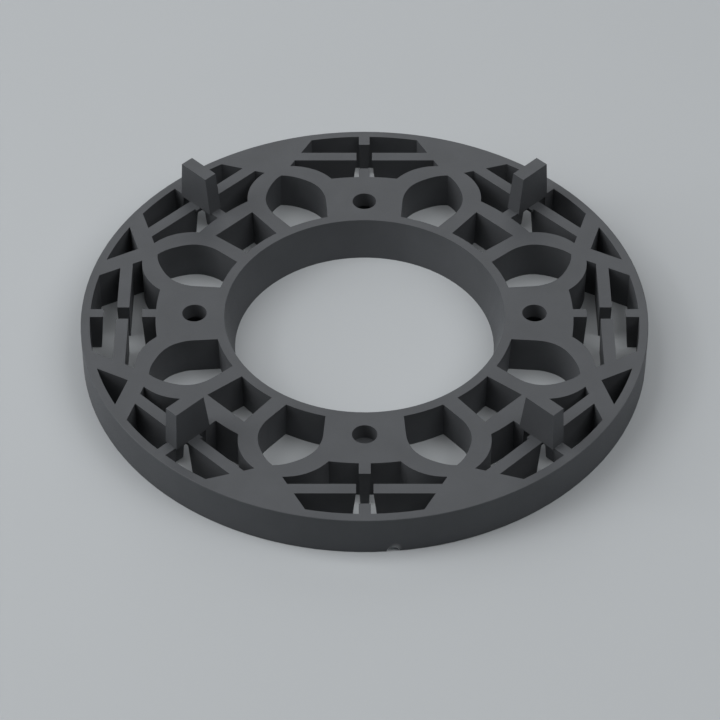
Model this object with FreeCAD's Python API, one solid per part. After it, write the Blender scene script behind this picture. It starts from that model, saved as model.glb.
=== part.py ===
import FreeCAD, Part
import math
import os

# Support ring for raised paving: one injection-moulded plastic ring that lies flat under
# the corners of four slabs. Its four upright tabs set the joint between the slabs. Rings
# stack: each is turned by one sector, so that the tabs of the lower one go up into the
# cross-shaped sockets of the upper one.
# Units are mm. +Z is up and the origin is the centre of the underside. There are eight
# sectors, numbered anticlockwise from the x axis: even ones carry a screw pad, odd ones a
# tab. Inside a sector, "radial" runs outwards along its middle and "tangential" across it.

# Inner rim. Radial measures follow one another from the bore outwards.
BORE_DIAMETER = 59.4        # at the top face
BORE_DRAFT = 2.05           # how far the bore's wall leans in towards the foot
RIM_WALL = 2.1              # at the top face, between the bore and the windows
RIM_DRAFT = 0.95            # how far the rim's outer face leans in towards the foot
RING_HEIGHT = 9.2
EDGE_RADIUS = 0.2           # rounded top and bottom edges of the outer rim

# Screw pads
PAD_LENGTH = 12.4           # from the inner rim to the outer edge of pads and bars
PAD_PLATE = 3.6             # thickness of a pad over the hollow below it
PAD_WALL = 2.4              # walls round that hollow
SCREW_INSET = 4.2           # from the inner rim to the middle of a screw hole
SCREW_HOLE = 5.2
CLOSED_HOLE_ANGLE = 270.0   # the pad whose hole is closed at its foot
HOLE_SKIN = 0.5             # plastic that closes it, level with the other plates' underside

# Petal windows, one on each axis between two sectors
PETAL_LENGTH = 16.6         # from the inner rim to the pointed outer end
PETAL_BULGE = 7.9           # from the inner rim to where the window is widest
PETAL_WIDTH = 13.0
PETAL_ROOT_WIDTH = 8.2      # where the window meets the inner rim
PETAL_WALL = 3.9            # wall round a petal at its widest place
PETAL_TIP_WALL = 2.9        # the same wall beyond the petal's tip
WALL_SHIFT = 0.25           # by how much further out the wall's outside is widest

# Windows between the inner rim and the bar of each tab sector
WINDOW_INNER_WIDTH = 9.0
WINDOW_OUTER_WIDTH = 11.0
BAR_WIDTH = 3.9             # bar between that window and the web's pockets

# Web between the petals and the outer rim
BRACE_WIDTH = 3.8           # crossed braces outside each petal
BRACE_TURN = 50.3           # angle in degrees between a brace and the petal's axis
BRACE_CROSSING = 4.63       # from the petal's tip to where the braces' outer edges cross
STUB_WALL = 2.4             # radial stubs at both ends of a socket, at the top face
STUB_FOOT_WALL = 1.8
INNER_STUB = 2.9            # length of the stub on the pad or bar, at the top face
OUTER_STUB = 2.8            # length of the stub on the outer rim
OUTER_WALL = 1.9            # outer rim
RIB_INSET = 2.8             # from the socket's inner end to the rib's inner face
RIB_WALL = 2.6              # at the top face
RIB_DRAFT = 0.2             # how far each face of the rib leans in towards the foot

# Sockets for the tabs of the ring below, wider at the foot to lead the tabs in
SOCKET_LENGTH = 8.2         # at the top face
SLOT_WIDTH_TOP = 3.5
SLOT_WIDTH_FOOT = 5.4
LEAD_IN = 0.8               # by how much each end of a socket lies further out at the foot

# Spacer tabs
TAB_THICKNESS = 3.0         # joint between two slabs, at the tab's top
TAB_FOOT_THICKNESS = 3.3
TAB_INNER_OVERLAP = 0.9     # how far the tab's foot reaches over the inner stub
TAB_OUTER_OVERLAP = 0.1     # the same over the outer stub
TAB_INNER_LEAN = 1.2        # by how much the tab's inner end leans in towards the top
TAB_OUTER_LEAN = 0.5        # the same at its outer end
TAB_ROOT_DEPTH = 0.8        # plastic below the top face that carries the tab
GUSSET = 0.6                # how far that root stands out from the rib's inner face

# Chip in the foot of the outer rim, as if scooped out by a ball centred on the edge
CHIP_ANGLE = 275.4
CHIP_RADIUS = 1.3

SECTORS = 8
SECTOR_TURN = 360.0 / SECTORS
OVERCUT = 1.0               # how far every cutter runs past the face that it cuts
# Petal axes, in degrees, whose triangle by the outer rim is open: the two pairs to the
# left and right. The four at front and back are filled.
OPEN_TRIANGLE_ANGLES = (22.5, 157.5, 202.5, 337.5)

# Radii at the top face
RIM_RADIUS = BORE_DIAMETER / 2 + RIM_WALL
PETAL_TIP = RIM_RADIUS + PETAL_LENGTH
PAD_RADIUS = RIM_RADIUS + PAD_LENGTH
SOCKET_START = PAD_RADIUS + INNER_STUB
SOCKET_END = SOCKET_START + SOCKET_LENGTH
RIB_START = SOCKET_START + RIB_INSET
WEB_RADIUS = SOCKET_END + OUTER_STUB
RING_RADIUS = WEB_RADIUS + OUTER_WALL
# Distance of a brace's outer edge from the ring's centre
BRACE_OUTSIDE = (PETAL_TIP + BRACE_CROSSING) * math.sin(math.radians(BRACE_TURN))


def point(radial, tangential=0.0, z=0.0):
    return FreeCAD.Vector(radial, tangential, z)


def turned(shape, angle):
    """The shape turned about the ring's axis by an angle in degrees."""
    copy = shape.copy()
    copy.rotate(point(0), FreeCAD.Vector(0, 0, 1), angle)
    return copy


def mirrored(shape):
    """The shape mirrored to the other side of its sector."""
    return shape.mirror(point(0), FreeCAD.Vector(0, 1, 0))


def line(a, b):
    return Part.LineSegment(a, b).toShape()


def polygon(corners):
    return [line(a, b) for a, b in zip(corners, corners[1:] + corners[:1])]


def prism(edges, z=-OVERCUT, height=RING_HEIGHT + 2 * OVERCUT):
    """An upright prism on a closed outline that lies in the plane z = 0."""
    face = Part.Face(Part.Wire(Part.__sortEdges__(edges)))
    face.translate(FreeCAD.Vector(0, 0, z))
    return face.extrude(FreeCAD.Vector(0, 0, height))


def tapered_block(foot, top, z_foot, z_top):
    """A block with flat sides between two rectangles: (inner end, outer end, width)."""
    ends = []
    for (start, end, width), z in ((foot, z_foot), (top, z_top)):
        half = width / 2
        ends.append([point(start, -half, z), point(end, -half, z),
                     point(end, half, z), point(start, half, z)])
    low, high = ends
    sides = [[low[i - 1], low[i], high[i], high[i - 1]] for i in range(4)]
    faces = [Part.Face(Part.Wire(polygon(corners))) for corners in [low, high] + sides]
    solid = Part.Solid(Part.Shell(faces))
    if solid.Volume < 0:
        solid.reverse()
    return solid


def block(start, end, width, z_foot, z_top):
    return tapered_block((start, end, width), (start, end, width), z_foot, z_top)


def drafted(foot, top, z):
    """A measure that changes evenly from the ring's foot to its top, at height z."""
    return foot + (top - foot) * z / RING_HEIGHT


def arc_between(centre, radius, start, end):
    """The shorter arc about a centre from one point to another."""
    middle = (start + end) * 0.5 - centre
    return Part.Arc(start, centre + middle * (radius / middle.Length), end).toShape()


def crossings(centre, radius, other, other_radius):
    """The two points where two circles cross."""
    apart = other - centre
    along = (apart.Length ** 2 + radius ** 2 - other_radius ** 2) / (2 * apart.Length)
    across = math.sqrt(radius ** 2 - along ** 2)
    axis = apart * (1 / apart.Length)
    side = point(-axis.y, axis.x)
    foot = centre + axis * along
    return foot + side * across, foot - side * across


def ray_meets_circle(start, direction, centre, radius):
    """Where a ray leaves a circle."""
    middle = (start - centre).dot(direction)
    reach = math.sqrt(middle ** 2 - (start - centre).dot(start - centre) + radius ** 2)
    return start + direction * (reach - middle)


def on_petal_axis(along, across=0.0):
    """A place given from the axis of the petal between sectors 0 and 1."""
    turn = math.radians(SECTOR_TURN / 2)
    return point(along * math.cos(turn) - across * math.sin(turn),
                 along * math.sin(turn) + across * math.cos(turn))


def across_petal(place):
    """The same place on the other side of that petal's axis."""
    axis = on_petal_axis(1)
    return axis * (2 * place.dot(axis)) - place


# ---- ring body -------------------------------------------------------------------------

def ring_body():
    """Flat ring with an upright outside, rounded edges and a bore that widens upwards."""
    top = BORE_DIAMETER / 2
    foot = top - BORE_DRAFT
    edge, corner = EDGE_RADIUS, EDGE_RADIUS * (1 - math.sqrt(0.5))

    def at(radius, z):
        return FreeCAD.Vector(radius, 0, z)

    low = Part.Arc(at(RING_RADIUS - edge, 0), at(RING_RADIUS - corner, corner),
                   at(RING_RADIUS, edge)).toShape()
    high = Part.Arc(at(RING_RADIUS, RING_HEIGHT - edge),
                    at(RING_RADIUS - corner, RING_HEIGHT - corner),
                    at(RING_RADIUS - edge, RING_HEIGHT)).toShape()
    outline = [line(at(foot, 0), at(RING_RADIUS - edge, 0)), low,
               line(at(RING_RADIUS, edge), at(RING_RADIUS, RING_HEIGHT - edge)), high,
               line(at(RING_RADIUS - edge, RING_HEIGHT), at(top, RING_HEIGHT)),
               line(at(top, RING_HEIGHT), at(foot, 0))]
    face = Part.Face(Part.Wire(outline))
    return face.revolve(point(0), FreeCAD.Vector(0, 0, 1), 360)


def rim_outside(z):
    """Radius of the inner rim's outer face at height z."""
    return drafted(RIM_RADIUS - RIM_DRAFT, RIM_RADIUS, z)


def inner_rim():
    """Everything inside the inner rim's outer face, a cone that widens upwards."""
    low, high = -2 * OVERCUT, RING_HEIGHT + 2 * OVERCUT
    return Part.makeCone(rim_outside(low), rim_outside(high), high - low, point(0, 0, low))


# ---- petals ----------------------------------------------------------------------------

def petal_arc(width, widest, tip):
    """Arc that bounds a petal shape on the side of sector 0: its centre and radius.

    The shape is widest at one distance from the ring's centre and ends in a tip at another.
    """
    half, reach = width / 2, tip - widest
    beyond = (reach ** 2 - half ** 2) / (2 * half)
    return on_petal_axis(widest, beyond), half + beyond


def petal_side():
    """The window's side: centre and radius of its arc, and the straight root that it meets."""
    centre, radius = petal_arc(PETAL_WIDTH, RIM_RADIUS + PETAL_BULGE, PETAL_TIP)
    half = PETAL_ROOT_WIDTH / 2
    root = on_petal_axis(math.sqrt(RIM_RADIUS ** 2 - half ** 2), -half)
    # The root touches the arc where a circle with root and centre as diameter crosses it.
    middle = (root + centre) * 0.5
    touch = min(crossings(centre, radius, middle, (root - middle).Length),
                key=lambda place: place.y)
    return centre, radius, root, touch


def inward_from(touch, root):
    """A point on the straight root's line, well inside the inner rim."""
    return root + (root - touch) * ((RIM_WALL + OVERCUT) / (root - touch).Length)


def petal_window():
    """Cutter for the pointed window between two sectors, closed off by the inner rim."""
    centre, radius, root, touch = petal_side()
    tip, inside = on_petal_axis(PETAL_TIP), inward_from(touch, root)
    near = [line(inside, touch), arc_between(centre, radius, touch, tip)]
    far = [line(across_petal(inside), across_petal(touch)),
           arc_between(across_petal(centre), radius, across_petal(touch), tip)]
    return prism(near + far + [line(inside, across_petal(inside))]).cut(inner_rim())


# ---- web between the petals and the outer rim --------------------------------------------

def brace_line(distance):
    """A point on a brace's edge and the edge's outward direction, beside sector 0."""
    turn = math.radians(SECTOR_TURN / 2 - BRACE_TURN)
    direction = point(math.cos(turn), math.sin(turn))
    return point(-direction.y, direction.x) * distance, direction


def rib_with_slot():
    """The straight rib across a sector, parted by a slot that widens downwards."""
    low, high = -OVERCUT, RING_HEIGHT + OVERCUT
    ends = []
    for z in (low, high):
        lean = drafted(RIB_DRAFT, 0.0, z)
        ends.append((RIB_START + lean, RIB_START + RIB_WALL - lean, RING_RADIUS))
    rib = tapered_block(*ends, low, high)
    start, end = RIB_START - OVERCUT, RIB_START + RIB_WALL + OVERCUT
    widths = [drafted(SLOT_WIDTH_FOOT, SLOT_WIDTH_TOP, z) for z in (low, high)]
    slot = tapered_block((start, end, widths[0]), (start, end, widths[1]), low, high)
    return rib.cut(slot)


def stubs():
    """The radial stubs on pad and outer rim that face each other across the slot."""
    inner, outer = [], []
    for z in (-OVERCUT, RING_HEIGHT + OVERCUT):
        width = drafted(STUB_FOOT_WALL, STUB_WALL, z)
        lead_in = drafted(LEAD_IN, 0.0, z)
        inner.append((PAD_RADIUS - OVERCUT, SOCKET_START - lead_in, width))
        outer.append((SOCKET_END + lead_in, RING_RADIUS, width))
    return [tapered_block(foot, top, -OVERCUT, RING_HEIGHT + OVERCUT)
            for foot, top in (inner, outer)]


def web_pocket():
    """Everything that a sector leaves open between pad, petal walls, braces and rim."""
    centre, radius = petal_arc(PETAL_WIDTH + 2 * PETAL_WALL,
                               RIM_RADIUS + PETAL_BULGE + WALL_SHIFT,
                               PETAL_TIP + PETAL_TIP_WALL)
    pad_corner = min(crossings(point(0), PAD_RADIUS, centre, radius),
                     key=lambda place: place.y)
    start, direction = brace_line(BRACE_OUTSIDE - BRACE_WIDTH)
    wall_corner = ray_meets_circle(start, direction, centre, radius)
    rim_corner = ray_meets_circle(start, direction, point(0), WEB_RADIUS)
    half = [arc_between(centre, radius, pad_corner, wall_corner),
            line(wall_corner, rim_corner)]
    ends = [arc_between(point(0), WEB_RADIUS, rim_corner,
                        point(rim_corner.x, -rim_corner.y)),
            arc_between(point(0), PAD_RADIUS, pad_corner,
                        point(pad_corner.x, -pad_corner.y))]
    pocket = prism(half + [mirrored(edge) for edge in half] + ends)
    return pocket.cut([rib_with_slot()] + stubs())


def rim_triangle():
    """Cutter for the small opening between two crossed braces and the outer rim."""
    apex = on_petal_axis(PETAL_TIP + BRACE_CROSSING)
    start, direction = brace_line(BRACE_OUTSIDE)
    corner = ray_meets_circle(start, direction, point(0), WEB_RADIUS)
    other = across_petal(corner)
    return prism([line(apex, corner), line(apex, other),
                  Part.Arc(corner, on_petal_axis(WEB_RADIUS), other).toShape()])


# ---- pads, screw holes and bar windows ---------------------------------------------------

def pad_hollow(skin=0.0):
    """Hollow under a screw pad, open below, inside even walls and under the pad's plate."""
    centre, radius, root, touch = petal_side()
    shift = (touch - centre) * (PAD_WALL / radius)
    inside = inward_from(touch, root) + shift
    edge = PAD_RADIUS - PAD_WALL
    corner = min(crossings(point(0), edge, centre, radius + PAD_WALL),
                 key=lambda place: place.y)
    half = [line(inside, touch + shift),
            arc_between(centre, radius + PAD_WALL, touch + shift, corner)]
    ends = [line(inside, point(inside.x, -inside.y)),
            arc_between(point(0), edge, corner, point(corner.x, -corner.y))]
    hollow = prism(half + [mirrored(side) for side in half] + ends,
                   -OVERCUT, RING_HEIGHT - PAD_PLATE - skin + OVERCUT)
    return hollow.cut(inner_rim())


def screw_hole(skin=0.0):
    """Hole through a pad's plate, or down to the skin that closes it."""
    foot = RING_HEIGHT - PAD_PLATE - (0.0 if skin else OVERCUT)
    return Part.makeCylinder(SCREW_HOLE / 2, RING_HEIGHT + OVERCUT - foot,
                             point(RIM_RADIUS + SCREW_INSET, 0, foot))


def bar_window():
    """Window of a tab sector between the inner rim and the bar, wider at the bar."""
    outer = PAD_RADIUS - BAR_WIDTH
    flare = (WINDOW_OUTER_WIDTH - WINDOW_INNER_WIDTH) / 2 / (outer - RIM_RADIUS)
    inside = RIM_RADIUS - RIM_WALL
    half_inside = WINDOW_INNER_WIDTH / 2 - flare * RIM_WALL
    half_outside = WINDOW_OUTER_WIDTH / 2
    corners = [point(inside, -half_inside), point(outer, -half_outside),
               point(outer, half_outside), point(inside, half_inside)]
    return prism(polygon(corners)).cut(inner_rim())


# ---- tabs and chip -----------------------------------------------------------------------

def tab():
    """Upright spacer tab over the socket of its sector, with the thin root under it."""
    start, end = SOCKET_START - TAB_INNER_OVERLAP, SOCKET_END + TAB_OUTER_OVERLAP
    upright = tapered_block((start, end, TAB_FOOT_THICKNESS),
                            (start + TAB_INNER_LEAN, end - TAB_OUTER_LEAN, TAB_THICKNESS),
                            RING_HEIGHT, 2 * RING_HEIGHT)
    sill = RING_HEIGHT - TAB_ROOT_DEPTH
    spine = block(start, end, STUB_WALL, sill, RING_HEIGHT)
    bridge = block(RIB_START - GUSSET, RIB_START + RIB_WALL, SLOT_WIDTH_FOOT,
                   sill, RING_HEIGHT)
    return upright.fuse([spine, bridge])


def rim_chip():
    ball = Part.makeSphere(CHIP_RADIUS, point(RING_RADIUS))
    return turned(ball, CHIP_ANGLE)


# ---- the ring ----------------------------------------------------------------------------

def support_ring():
    pocket, petal, triangle = web_pocket(), petal_window(), rim_triangle()
    window, spacer = bar_window(), tab()
    cutters, tabs = [rim_chip()], []
    for sector in range(SECTORS):
        angle = sector * SECTOR_TURN
        cutters += [turned(pocket, angle), turned(petal, angle)]
        if sector % 2:
            cutters.append(turned(window, angle))
            tabs.append(turned(spacer, angle))
        else:
            skin = HOLE_SKIN if angle == CLOSED_HOLE_ANGLE else 0.0
            cutters += [turned(pad_hollow(skin), angle), turned(screw_hole(skin), angle)]
    cutters += [turned(triangle, angle - SECTOR_TURN / 2) for angle in OPEN_TRIANGLE_ANGLES]
    return ring_body().cut(cutters).fuse(tabs).removeSplitter().Solids[0]


def main():
    os.makedirs("parts", exist_ok=True)
    support_ring().exportStep("parts/support_ring.step")


main()
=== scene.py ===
"""Looks of a flat moulded support ring for raised paving.

The ring's shape comes from its CAD solid. This file gives the windows' walls their fine
drafts, rounds the moulded edges, gives the plastic its matte grained skin, and sets a pale
studio floor, soft lamps and a camera.
"""
import math

import bmesh
import bpy
import numpy as np
from bpy.props import FloatProperty, PointerProperty, StringProperty
from bpy.types import Operator, Panel, PropertyGroup
from mathutils import Euler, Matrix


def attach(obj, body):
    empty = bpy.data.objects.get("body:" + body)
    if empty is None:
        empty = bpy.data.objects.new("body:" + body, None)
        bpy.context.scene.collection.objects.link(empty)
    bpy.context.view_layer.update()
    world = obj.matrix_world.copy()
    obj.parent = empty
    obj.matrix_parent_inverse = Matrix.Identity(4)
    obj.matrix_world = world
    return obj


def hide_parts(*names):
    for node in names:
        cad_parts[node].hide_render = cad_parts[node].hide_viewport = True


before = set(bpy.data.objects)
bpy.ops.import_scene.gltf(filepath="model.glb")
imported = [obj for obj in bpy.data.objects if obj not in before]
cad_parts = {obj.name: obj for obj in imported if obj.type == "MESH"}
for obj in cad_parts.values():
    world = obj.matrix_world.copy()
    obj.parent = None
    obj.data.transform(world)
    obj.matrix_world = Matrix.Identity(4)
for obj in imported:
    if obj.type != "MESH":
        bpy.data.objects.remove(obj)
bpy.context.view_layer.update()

bl_info = {
    "name": "Paving support ring",
    "version": (1, 0, 0),
    "blender": (4, 5, 0),
    "location": "View3D > Sidebar > Support ring",
    "description": "Dresses the moulded support ring and sets up its studio",
    "category": "Object",
}

RING = "support_ring"

# All sizes are in metres. The ring's height is that of its body, without the tabs. Its sectors
# carry a pad and a tab in turn.
RING_HEIGHT = 0.0092
SECTORS = 8
SECTOR = 2 * math.pi / SECTORS

# A pointed window lies half a sector from each pad. Its sides run from the inner rim past its
# widest place to its tip, inside its half width, all to within the slack.
WINDOW_ROOT, WINDOW_WIDEST, WINDOW_TIP = 0.0309, 0.0397, 0.0484
WINDOW_HALF_WIDTH = 0.0066
WINDOW_SLACK = 0.0005

# The inner rim's outer face lies between these distances from the ring's axis.
RIM_OUTSIDE = (0.0307, 0.0319)

# A window with a straight bar lies in front of each tab. Its side walls lie between these
# distances out, and these to either side.
BAR_WINDOW_OUT = (0.0300, 0.0410)
BAR_WINDOW_ACROSS = (0.0040, 0.0058)

# The stub between a pad and its socket, at the foot: how far out it ends, and half its width.
STUB_END = (0.0460, 0.0467)
STUB_HALF_WIDTH = 0.0011

# How far a face's normal may point up or down: on an upright wall, on a wall that leans, and
# on any face that isn't level.
UPRIGHT, LEANING, NOT_LEVEL = 0.01, 0.2, 0.9

# Walls that turn by less than about 11 degrees move as one. This is half that angle's tangent.
ONE_WALL = 0.1

# Corners nearer to each other, or to the floor, than this are taken to touch.
TOUCHING = 1e-6

# Faces that turn by less than the first angle are joined, and an edge that turns by more than
# the second is sharp in the solid and rolled off here.
FLAT_ANGLE = math.radians(0.5)
SHARP_ANGLE = math.radians(30)

# The round chip in the foot of the outer wall, a little right of the front, and how far past its
# round the broken face's pale colour, partly painted light, is taken to reach.
CHIP_CENTRE = (0.00565, -0.05973, 0.0)
CHIP_RADIUS = 0.0013
CHIP_EDGE = 0.00004

# The pale spot beside the chip, strained plastic with painted light on it: its centre, its clear
# core and where it has faded out.
STRAIN_AND_LIGHT_CENTRE = (0.0061, -0.0597, 0.0010)
STRAIN_AND_LIGHT_FADE = (0.0003, 0.0015)

# Flow marks in the plastic: their width, about that between two ribs, and their contrast.
FLOW_MARK_SIZE = 0.009
FLOW_MARK_CONTRAST = 0.07

# How far the roughness swings to either side of its mean between the grains.
GRAIN_ROUGHNESS_SWING = 0.05

# Nearly all values of a noise pattern lie in this span.
NOISE_SPAN = (0.3, 0.7)

# The floor: its width, its steps each way, and the width and contrast of the paint's clouds.
FLOOR_SIZE = 8.0
FLOOR_STEPS = 8
PAINT_CLOUD_SIZE = 1 / 12
PAINT_CLOUD_CONTRAST = 0.015

# The floor turns into the backdrop's colour between these distances from the ring's centre.
FLOOR_FADE = (0.3, 1.0)

# Soft light, mostly from the left: name, azimuth and elevation in degrees, power in watts.
LAMPS = (
    ("key_low", 180, 25, 7.4),
    ("key_high", 180, 55, 7.1),
    ("fill_right", 0, 55, 4.3),
    ("fill_front", 315, 55, 3.1),
    ("rim_back", 90, 25, 3.1),
    ("overhead", 0, 90, 2.1),
)
LAMP_SIZE = 0.9
LAMP_DISTANCE = 1.3

# The camera: its lens and sensor width in millimetres, its place, its tilt down from level and
# its turn in degrees, and the nearest and farthest distance that it shows.
LENS, SENSOR_WIDTH = 150.97, 36.0
CAMERA_PLACE = (-0.000968, -0.466342, 0.446641)
CAMERA_TILT, CAMERA_TURN = 44.06, -0.0024
CAMERA_REACH = (0.05, 20.0)


# ---- values a user would change ----------------------------------------------------------

class RingLook(PropertyGroup):
    plastic: StringProperty(
        name="Plastic", default="#4A4C4F",
        description="Colour of the moulded plastic, as an sRGB hex value")
    edge_round: FloatProperty(
        name="Edge rounding", default=0.00022, unit="LENGTH", precision=5,
        description="Radius that the mould leaves on every edge")
    grain_size: FloatProperty(
        name="Grain size", default=0.00035, unit="LENGTH", precision=5,
        description="Width of one grain of the eroded mould's texture")
    grain_depth: FloatProperty(
        name="Grain depth", default=0.000012, unit="LENGTH", precision=6,
        description="Height of the texture's grains")
    roughness: FloatProperty(
        name="Roughness", default=0.55, min=0.0, max=1.0, subtype="FACTOR",
        description="Roughness of the matte moulded skin")
    window_draft: FloatProperty(
        name="Window draft", default=0.0005, unit="LENGTH", precision=5,
        description="How far the pointed windows' side walls lean back down to the foot")
    bar_draft: FloatProperty(
        name="Bar window draft", default=0.0003, unit="LENGTH", precision=5,
        description="How far the bar windows' side walls lean back down to the foot")
    rim_foot: FloatProperty(
        name="Rim foot", default=0.00055, unit="LENGTH", precision=5,
        description="How much further out the inner rim's outer face meets the floor")
    window_spread: FloatProperty(
        name="Window spread", default=0.0003, unit="LENGTH", precision=5,
        description="How far a pointed window's sides stand further apart at the inner rim")
    window_flat: FloatProperty(
        name="Window flat", default=0.0004, unit="LENGTH", precision=5,
        description="How much a pointed window's sides are flattened beside the tip")
    stub_reach: FloatProperty(
        name="Stub reach", default=0.0004, unit="LENGTH", precision=5,
        description="How much further out the pad stubs end at the foot")
    # The strained spot's colour is partly whitened plastic and partly painted light where the
    # chip's rim catches the light.
    strain_and_light: StringProperty(
        name="Stress mark", default="#7E8082",
        description="Colour of the strained plastic above the chip, as an sRGB hex value")
    # The broken face's colour is partly pale whitened plastic and partly painted light in the
    # chip's hollow, which otherwise lies in shade.
    broken_face_and_light: StringProperty(
        name="Broken face", default="#C4C6C8",
        description="Colour of the chip's broken face, as an sRGB hex value")


class StudioLook(PropertyGroup):
    floor: StringProperty(
        name="Floor", default="#B4B8BB",
        description="Colour of the floor under the ring, as an sRGB hex value")
    backdrop: StringProperty(
        name="Backdrop", default="#B4B8BB",
        description="Colour behind the floor, as an sRGB hex value")


def linear(value):
    """The linear RGBA of an sRGB hex value."""
    channels = [int(value[i:i + 2], 16) / 255 for i in (1, 3, 5)]
    return [c / 12.92 if c <= 0.04045 else ((c + 0.055) / 1.055) ** 2.4
            for c in channels] + [1.0]


def shade(colour, factor):
    """A linear RGBA colour made darker or lighter by a factor."""
    return [c * factor for c in colour[:3]] + [1.0]


# ---- materials ---------------------------------------------------------------------------

def add_node(tree, kind, settings=None, inputs=None, links=None):
    """One node with its settings, its input values and the outputs linked into it."""
    node = tree.nodes.new(kind)
    for name, value in (settings or {}).items():
        setattr(node, name, value)
    for name, value in (inputs or {}).items():
        node.inputs[name].default_value = value
    for name, source in (links or {}).items():
        tree.links.new(source, node.inputs[name])
    return node


def new_material(name):
    material = bpy.data.materials.new(name)
    material.use_nodes = True
    material.node_tree.nodes.clear()
    return material


def seen_ray(tree):
    """1 for a ray from the camera or a reflection, and 0 for one that carries light."""
    ray = add_node(tree, "ShaderNodeLightPath")
    return add_node(tree, "ShaderNodeMath", settings={"operation": "MAXIMUM"},
                    links={0: ray.outputs["Is Camera Ray"],
                           1: ray.outputs["Is Glossy Ray"]}).outputs["Value"]


def clouded(tree, noise, colour, contrast, span):
    """A colour that turns darker and lighter by the contrast as a noise crosses the span."""
    ramp = add_node(tree, "ShaderNodeValToRGB", links={"Fac": noise.outputs["Fac"]})
    for stop, place, factor in zip(ramp.color_ramp.elements, span, (1 - contrast, 1 + contrast)):
        stop.position = place
        stop.color = shade(colour, factor)
    return ramp.outputs["Color"]


def moulded_polypropylene(look):
    """Black polypropylene, injection moulded in a spark-eroded mould.

    The skin is matte, with fine round grains that scatter the light, and a faint cloudiness
    where the melt flowed and cooled unevenly. The grains of such a mould are about 0.1 mm wide,
    and are drawn coarser than that to show at all.
    """
    material = new_material("moulded_polypropylene")
    tree = material.node_tree
    place = add_node(tree, "ShaderNodeTexCoord").outputs["Object"]
    grain = add_node(tree, "ShaderNodeTexNoise",
                     inputs={"Scale": 1 / look.grain_size, "Detail": 2.0, "Roughness": 0.6},
                     links={"Vector": place})
    flow_marks = add_node(tree, "ShaderNodeTexNoise",
                          inputs={"Scale": 1 / FLOW_MARK_SIZE, "Detail": 3.0,
                                  "Roughness": 0.55},
                          links={"Vector": place})
    plain = clouded(tree, flow_marks, linear(look.plastic), FLOW_MARK_CONTRAST, NOISE_SPAN)
    # The chip's broken face is pale, and so is the plastic that was strained above it: partly
    # their own whitening and partly painted light, which lightens the chip's shaded hollow and
    # its rim.
    from_strain_and_light = add_node(tree, "ShaderNodeVectorMath", settings={"operation": "DISTANCE"},
                           inputs={1: STRAIN_AND_LIGHT_CENTRE}, links={0: place})
    strained = add_node(tree, "ShaderNodeMapRange",
                        settings={"interpolation_type": "SMOOTHSTEP"},
                        inputs={"From Min": STRAIN_AND_LIGHT_FADE[0], "From Max": STRAIN_AND_LIGHT_FADE[1],
                                "To Min": 1.0, "To Max": 0.0},
                        links={"Value": from_strain_and_light.outputs["Value"]})
    from_chip = add_node(tree, "ShaderNodeVectorMath", settings={"operation": "DISTANCE"},
                         inputs={1: CHIP_CENTRE}, links={0: place})
    broken = add_node(tree, "ShaderNodeMath", settings={"operation": "LESS_THAN"},
                      inputs={1: CHIP_RADIUS + CHIP_EDGE},
                      links={0: from_chip.outputs["Value"]})
    # A colour mix reads its factor at socket 0 and its colours at 6 and 7.
    skin = add_node(tree, "ShaderNodeMix", settings={"data_type": "RGBA"},
                    inputs={7: linear(look.strain_and_light)},
                    links={0: strained.outputs["Result"], 6: plain}).outputs[2]
    # The broken face gets its pale colour here: partly whitened plastic, partly painted light in
    # the chip's shaded hollow.
    skin = add_node(tree, "ShaderNodeMix", settings={"data_type": "RGBA"},
                    inputs={7: linear(look.broken_face_and_light)},
                    links={0: broken.outputs["Value"], 6: skin}).outputs[2]
    roughness = add_node(tree, "ShaderNodeMapRange",
                         inputs={"From Min": NOISE_SPAN[0], "From Max": NOISE_SPAN[1],
                                 "To Min": look.roughness - GRAIN_ROUGHNESS_SWING,
                                 "To Max": look.roughness + GRAIN_ROUGHNESS_SWING},
                         links={"Value": grain.outputs["Fac"]})
    bump = add_node(tree, "ShaderNodeBump",
                    inputs={"Strength": 1.0, "Distance": look.grain_depth},
                    links={"Height": grain.outputs["Fac"]})
    shader = add_node(tree, "ShaderNodeBsdfPrincipled",
                      inputs={"IOR": 1.49, "Specular IOR Level": 0.28},
                      links={"Base Color": skin,
                             "Roughness": roughness.outputs["Result"],
                             "Normal": bump.outputs["Normal"]})
    add_node(tree, "ShaderNodeOutputMaterial", links={"Surface": shader.outputs["BSDF"]})
    return material


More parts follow.
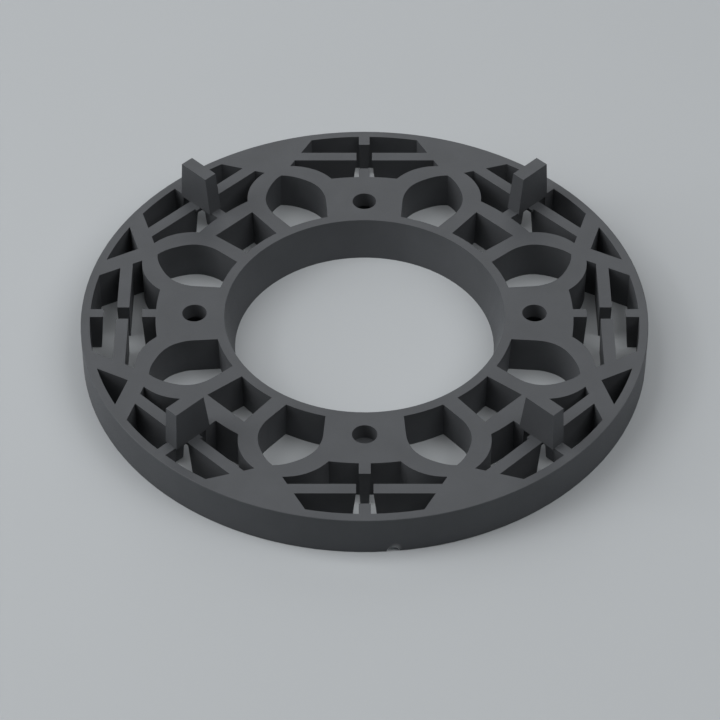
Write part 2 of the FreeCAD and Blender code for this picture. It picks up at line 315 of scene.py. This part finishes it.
def floor_paint(look):
    """Pale matte studio paint: even, with a barely visible cloudiness.

    Far from the ring, where the lamps no longer reach, the camera sees the backdrop's colour.
    """
    material = new_material("matte_studio_paint")
    tree = material.node_tree
    place = add_node(tree, "ShaderNodeTexCoord").outputs["Object"]
    clouds = add_node(tree, "ShaderNodeTexNoise",
                      inputs={"Scale": 1 / PAINT_CLOUD_SIZE, "Detail": 2.0},
                      links={"Vector": place})
    colour = clouded(tree, clouds, linear(look.floor), PAINT_CLOUD_CONTRAST, (0.0, 1.0))
    shader = add_node(tree, "ShaderNodeBsdfPrincipled",
                      inputs={"Roughness": 0.85, "Specular IOR Level": 0.2},
                      links={"Base Color": colour})
    glow = add_node(tree, "ShaderNodeEmission", inputs={"Color": linear(look.backdrop)})
    from_ring = add_node(tree, "ShaderNodeVectorMath", settings={"operation": "DISTANCE"},
                         inputs={1: (0, 0, 0)}, links={0: place})
    far = add_node(tree, "ShaderNodeMapRange", settings={"interpolation_type": "SMOOTHSTEP"},
                   inputs={"From Min": FLOOR_FADE[0], "From Max": FLOOR_FADE[1]},
                   links={"Value": from_ring.outputs["Value"]})
    shown = add_node(tree, "ShaderNodeMath", settings={"operation": "MULTIPLY"},
                     links={0: far.outputs["Result"], 1: seen_ray(tree)})
    paint = add_node(tree, "ShaderNodeMixShader",
                     links={0: shown.outputs["Value"], 1: shader.outputs["BSDF"],
                            2: glow.outputs["Emission"]})
    add_node(tree, "ShaderNodeOutputMaterial", links={"Surface": paint.outputs["Shader"]})
    return material


# ---- pieces ------------------------------------------------------------------------------

def sector_frame(x, y, turned):
    """Distance out and distance across, seen from the nearest axis of an eighth of the ring.

    The axes run through the pads and tabs, or between them when turned is half a sector. The
    third result is that axis's own angle.
    """
    axis = np.round((np.arctan2(y, x) - turned) / SECTOR) * SECTOR + turned
    return x * np.cos(axis) + y * np.sin(axis), y * np.cos(axis) - x * np.sin(axis), axis


def wall_kind(face):
    """Which wall of a window a face is: "side", "bar side", "rim", or None for any other."""
    x, y, z = np.array([vert.co for vert in face.verts]).T
    lean = abs(face.normal.z)
    radius = np.hypot(x, y)
    # A facet of the rim may be in pieces, of which none spans the ring's whole height.
    on_rim = ((radius > RIM_OUTSIDE[0]) & (radius < RIM_OUTSIDE[1])).all()
    if on_rim and lean < LEANING and np.ptp(z) > 0.1 * RING_HEIGHT:
        return "rim"
    if lean > UPRIGHT or np.ptp(z) < 0.99 * RING_HEIGHT:
        return None
    out, across, _ = sector_frame(x, y, SECTOR / 2)
    if ((out > WINDOW_ROOT - WINDOW_SLACK) & (out < WINDOW_TIP + WINDOW_SLACK)
            & (abs(across) < WINDOW_HALF_WIDTH)).all():
        return "side"
    out, across, axis = sector_frame(x, y, 0.0)
    in_tab_sector = np.round(axis / SECTOR) % 2 == 1
    in_bar_window = ((out > BAR_WINDOW_OUT[0]) & (out < BAR_WINDOW_OUT[1])
                     & (abs(across) > BAR_WINDOW_ACROSS[0])
                     & (abs(across) < BAR_WINDOW_ACROSS[1]) & in_tab_sector).all()
    # The bar's own face has a corner at either side, and a side wall has all at one.
    at_one_side = abs(across.mean()) > BAR_WINDOW_ACROSS[0]
    return "bar side" if in_bar_window and at_one_side else None


def side_offset(out, look):
    """How far a pointed window's side lies inside its plain arc, at a distance from the axis.

    It grows from minus the spread at the inner rim to nothing at the widest place, and from
    there follows the flat times sin(pi t t), with t from 0 at the widest place to 1 at the tip.
    """
    if out < WINDOW_WIDEST:
        return look.window_spread * (out - WINDOW_WIDEST) / (WINDOW_WIDEST - WINDOW_ROOT)
    along = min((out - WINDOW_WIDEST) / (WINDOW_TIP - WINDOW_WIDEST), 1.0)
    return look.window_flat * math.sin(math.pi * along ** 2)


def wall_offset(kind, place, look):
    """How far a wall moves into its window at a corner: all at the foot, none at the top.

    The sides of a pointed window have their sweep besides, from top to foot.
    """
    below = 1 - place.z / RING_HEIGHT
    if kind == "rim":
        return below * look.rim_foot
    if kind == "bar side":
        return -below * look.bar_draft
    if kind == "side":
        out = sector_frame(place.x, place.y, SECTOR / 2)[0]
        return side_offset(out, look) - below * look.window_draft
    return 0.0


def shape_window_walls(mesh, look):
    """Gives the windows' walls their draft, and the pointed windows' sides their sweep.

    Each corner moves level until it lies in front of every window wall that meets in it by that
    wall's offset, and stays on any other wall: its move m solves m . n = offset, or m . n = 0,
    for the level normals n of those walls.
    """
    kinds = {face: wall_kind(face) for face in mesh.faces}
    moves = []
    for vert in {vert for face, kind in kinds.items() if kind for vert in face.verts}:
        walls = [face for face in vert.link_faces if abs(face.normal.z) < NOT_LEVEL]
        normals = np.array([face.normal.to_2d().normalized() for face in walls])
        offsets = np.array([wall_offset(kinds[face], vert.co, look) for face in walls])
        moves.append((vert, np.linalg.pinv(normals, rcond=ONE_WALL) @ offsets))
    for vert, move in moves:
        vert.co.x += move[0]
        vert.co.y += move[1]


def reach_stub_feet(mesh, reach):
    """Moves the foot of each pad stub's end face further out."""
    for vert in mesh.verts:
        out, across, axis = sector_frame(vert.co.x, vert.co.y, 0.0)
        at_end = STUB_END[0] < out < STUB_END[1] and abs(across) < STUB_HALF_WIDTH
        if at_end and vert.co.z < TOUCHING:
            vert.co.x += reach * math.cos(axis)
            vert.co.y += reach * math.sin(axis)


def ring_skin(look):
    """The ring's own surface, with drafted windows and every moulded edge rounded.

    A copy of the solid's mesh is merged, its flat faces are joined, the windows' walls are
    shaped, and each sharp edge is rolled off over the edge radius.
    """
    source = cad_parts[RING]
    skin = source.copy()
    skin.data = source.data.copy()
    skin.name = skin.data.name = "ring_skin"
    skin.hide_render = skin.hide_viewport = False
    bpy.context.scene.collection.objects.link(skin)
    mesh = bmesh.new()
    mesh.from_mesh(skin.data)
    bmesh.ops.remove_doubles(mesh, verts=mesh.verts, dist=TOUCHING)
    bmesh.ops.dissolve_limit(mesh, angle_limit=FLAT_ANGLE, verts=mesh.verts,
                             edges=mesh.edges, use_dissolve_boundaries=False)
    mesh.normal_update()
    shape_window_walls(mesh, look)
    reach_stub_feet(mesh, look.stub_reach)
    mesh.to_mesh(skin.data)
    mesh.free()
    skin.data.shade_smooth()
    skin.data.set_sharp_from_angle(angle=SHARP_ANGLE)
    bevel = skin.modifiers.new("moulded edges", "BEVEL")
    bevel.width = look.edge_round
    bevel.segments = 2
    bevel.limit_method = "ANGLE"
    bevel.angle_limit = SHARP_ANGLE
    bevel.use_clamp_overlap = True
    even = skin.modifiers.new("flat faces stay flat", "WEIGHTED_NORMAL")
    even.mode = "FACE_AREA"
    even.weight = 100
    even.keep_sharp = True
    return skin


def flat_sheet(name, size, steps):
    """A square grid on the ground: x and y run evenly over the size, and z is 0."""
    line = np.linspace(-size / 2, size / 2, steps + 1)
    x, y = np.meshgrid(line, line, indexing="ij")
    points = np.stack([x.ravel(), y.ravel(), np.zeros(x.size)], axis=1)
    row = steps + 1
    corner = (np.arange(steps)[:, None] * row + np.arange(steps)[None, :]).ravel()
    faces = np.stack([corner, corner + row, corner + row + 1, corner + 1], axis=1)
    mesh = bpy.data.meshes.new(name)
    mesh.from_pydata(points.tolist(), [], faces.tolist())
    mesh.update()
    sheet = bpy.data.objects.new(name, mesh)
    bpy.context.scene.collection.objects.link(sheet)
    return sheet


def area_lamp(name, azimuth, elevation, power):
    """A square lamp that faces the ring; azimuth 0 is at the right and 90 at the back."""
    turn, rise = math.radians(azimuth), math.radians(elevation)
    lamp = bpy.data.lights.new(name, "AREA")
    lamp.shape = "SQUARE"
    lamp.size = LAMP_SIZE
    lamp.energy = power
    holder = bpy.data.objects.new(name, lamp)
    holder.location = (LAMP_DISTANCE * math.cos(rise) * math.cos(turn),
                       LAMP_DISTANCE * math.cos(rise) * math.sin(turn),
                       LAMP_DISTANCE * math.sin(rise))
    holder.rotation_euler = (-holder.location).to_track_quat("-Z", "Y").to_euler()
    bpy.context.scene.collection.objects.link(holder)


# ---- operators ---------------------------------------------------------------------------

class RING_OT_dress(Operator):
    """Round the ring's edges and give it its moulded plastic skin"""
    bl_idname = "support_ring.dress"
    bl_label = "Dress the ring"

    def execute(self, context):
        look = context.scene.ring_look
        skin = ring_skin(look)
        skin.data.materials.clear()
        skin.data.materials.append(moulded_polypropylene(look))
        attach(skin, "root")
        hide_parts(RING)
        return {"FINISHED"}


class RING_OT_stage(Operator):
    """Set up the floor, the lamps and the camera"""
    bl_idname = "support_ring.stage"
    bl_label = "Set up the studio"

    def execute(self, context):
        scene = context.scene
        look = scene.studio_look
        floor = flat_sheet("studio_floor", FLOOR_SIZE, FLOOR_STEPS)
        floor.data.materials.append(floor_paint(look))
        for lamp in LAMPS:
            area_lamp(*lamp)
        world = bpy.data.worlds.new("studio_air")
        world.use_nodes = True
        air = world.node_tree
        background = air.nodes["Background"]
        background.inputs["Color"].default_value = linear(look.backdrop)
        air.links.new(seen_ray(air), background.inputs["Strength"])
        scene.world = world
        lens = bpy.data.cameras.new("camera")
        lens.sensor_width = SENSOR_WIDTH
        lens.lens = LENS
        lens.clip_start, lens.clip_end = CAMERA_REACH
        camera = bpy.data.objects.new("camera", lens)
        camera.location = CAMERA_PLACE
        camera.rotation_euler = Euler((math.radians(90 - CAMERA_TILT), 0,
                                       math.radians(CAMERA_TURN)))
        scene.collection.objects.link(camera)
        scene.camera = camera
        scene.view_settings.view_transform = "Standard"
        return {"FINISHED"}


class RING_PT_panel(Panel):
    """The ring's pieces and its studio"""
    bl_idname = "RING_PT_panel"
    bl_label = "Support ring"
    bl_space_type = "VIEW_3D"
    bl_region_type = "UI"
    bl_category = "Support ring"

    def draw(self, context):
        for group in (context.scene.ring_look, context.scene.studio_look):
            box = self.layout.box()
            for name in group.bl_rna.properties.keys():
                if name not in ("name", "rna_type"):
                    box.prop(group, name)
        self.layout.operator(RING_OT_dress.bl_idname)
        self.layout.operator(RING_OT_stage.bl_idname)


CLASSES = (RingLook, StudioLook, RING_OT_dress, RING_OT_stage, RING_PT_panel)


def register():
    for item in CLASSES:
        bpy.utils.register_class(item)
    bpy.types.Scene.ring_look = PointerProperty(type=RingLook)
    bpy.types.Scene.studio_look = PointerProperty(type=StudioLook)


def unregister():
    del bpy.types.Scene.studio_look
    del bpy.types.Scene.ring_look
    for item in reversed(CLASSES):
        bpy.utils.unregister_class(item)


def main():
    register()
    bpy.ops.support_ring.dress()
    bpy.ops.support_ring.stage()


if __name__ == "__main__":
    main()
